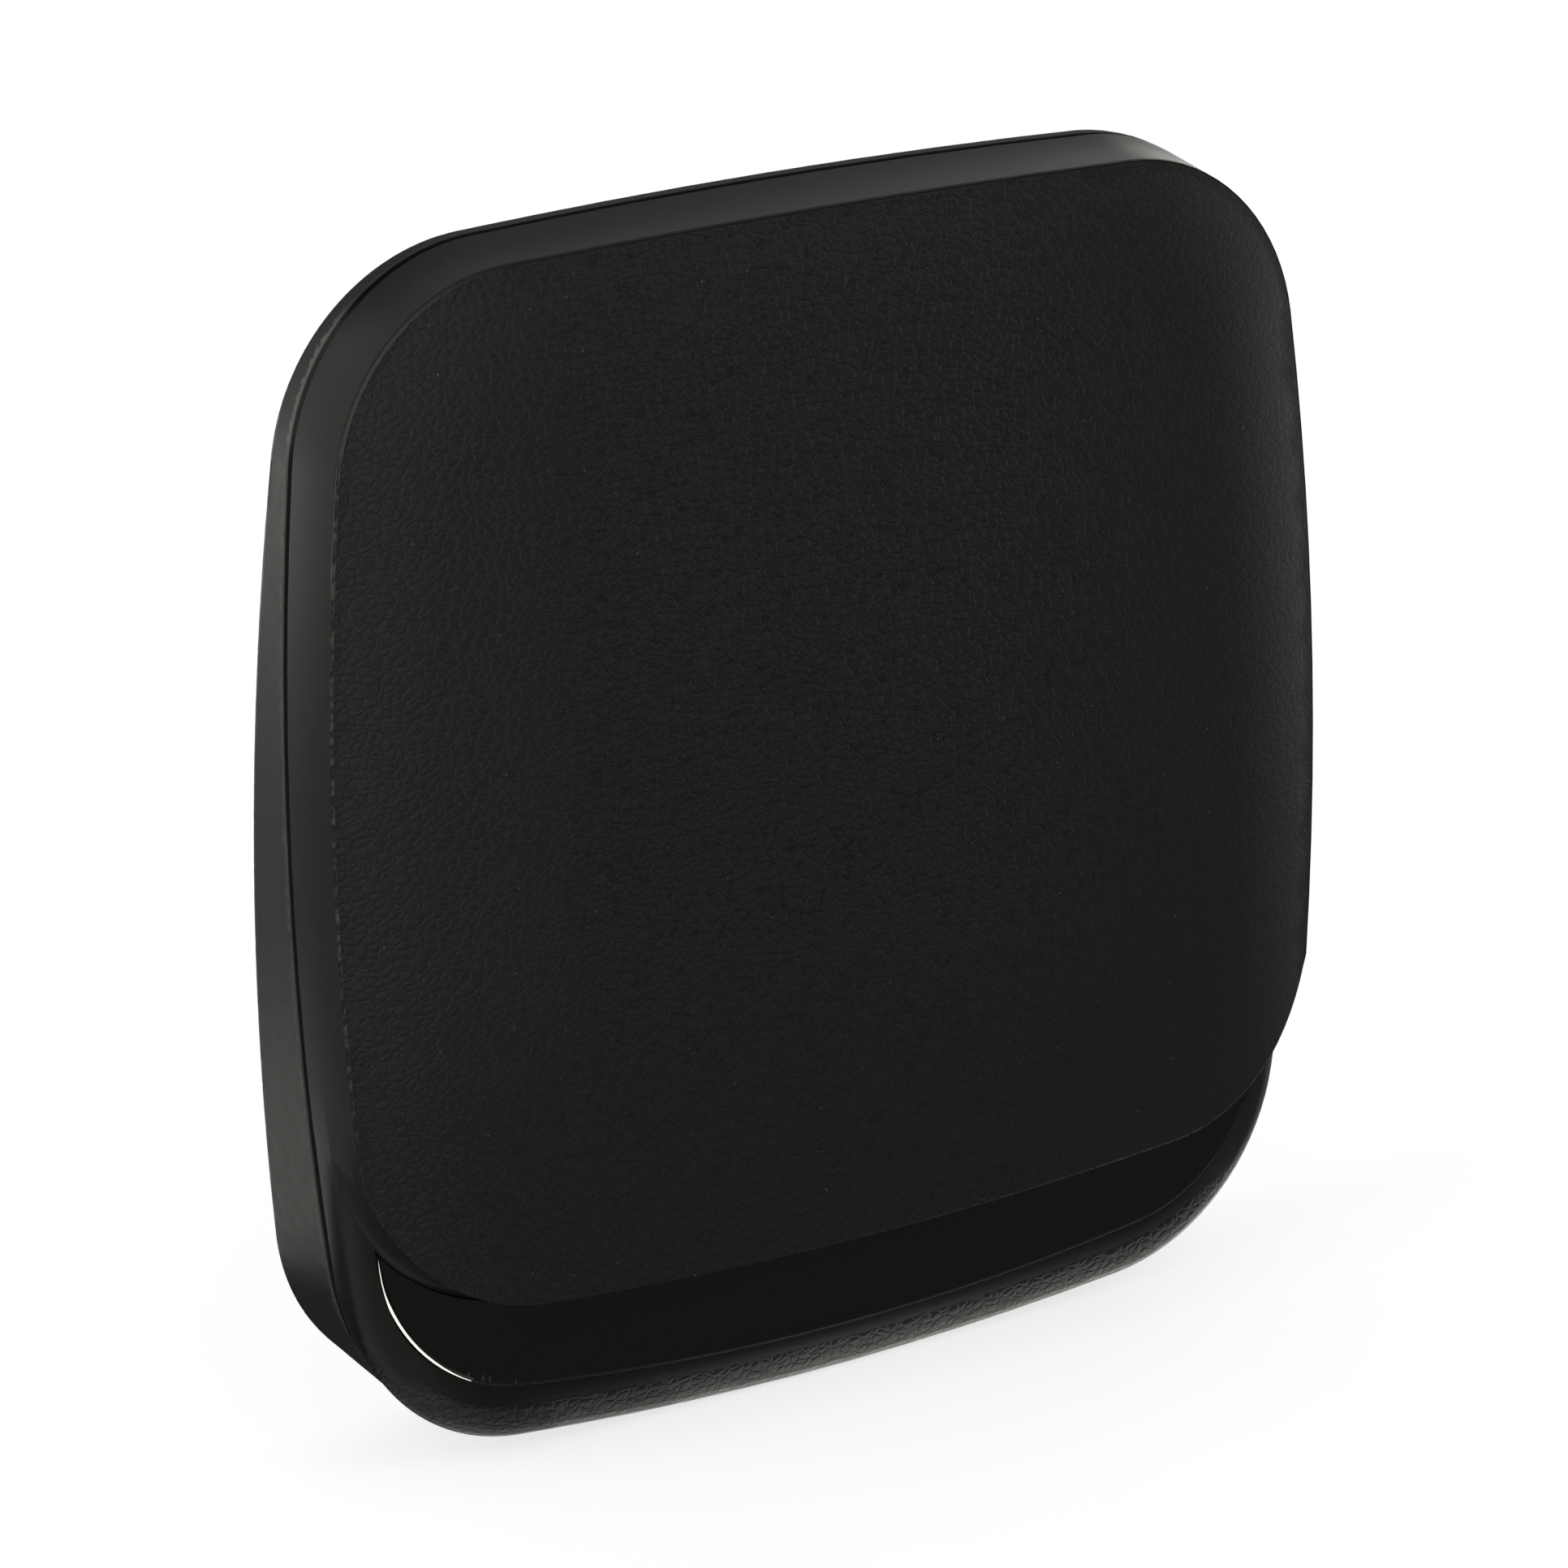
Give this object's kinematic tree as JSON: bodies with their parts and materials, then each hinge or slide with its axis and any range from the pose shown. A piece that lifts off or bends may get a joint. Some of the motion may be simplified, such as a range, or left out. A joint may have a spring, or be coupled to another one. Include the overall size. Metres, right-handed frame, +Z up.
{
  "type": "tabletop tv antenna",
  "caption": "Flat upright indoor television antenna: a rounded-square black case with a crowned grained front, a gloss inlaid chin, a wedge-shaped back and a threaded coaxial outlet.",
  "frame": {"origin": "on the table, under the middle of the overall box", "axes": "+Z up, +Y to the rear where the coaxial outlet points, +X to the right as seen from the front"},
  "size_m": [0.201, 0.0494, 0.2068],
  "materials": {
    "front_black": "leather-grained moulding with satin side band",
    "rear_black": "satin moulding",
    "gloss_black": "polished",
    "film": "double-sided adhesive film",
    "element": "stamped sheet",
    "screw": "zinc-plated",
    "board": "solder mask",
    "tinned_sheet": "tinned sheet",
    "ferrite": "sintered",
    "can": "sleeved can",
    "nickel": "nickel-plated",
    "insulation": "moulded",
    "contact": "plated",
    "feet": "matt",
    "lead": "insulated wire"
  },
  "bodies": {
    "root": {"front_housing": "front_black", "rear_housing": "rear_black", "chin_plate": "gloss_black", "plate_film": "film", "right_element": "element", "left_element": "element", "element_screws": "screw", "amplifier_board": "board", "board_screws": "screw", "shield_frame": "tinned_sheet", "shield_lid": "tinned_sheet", "balun_core": "ferrite", "capacitor": "can", "choke": "ferrite", "socket_body": "nickel", "socket_insulator": "insulation", "socket_contact": "contact", "socket_washer": "nickel", "socket_nut": "nickel", "case_screws": "screw", "rubber_feet": "feet", "feed_leads": "lead"}
  },
  "joints": []
}
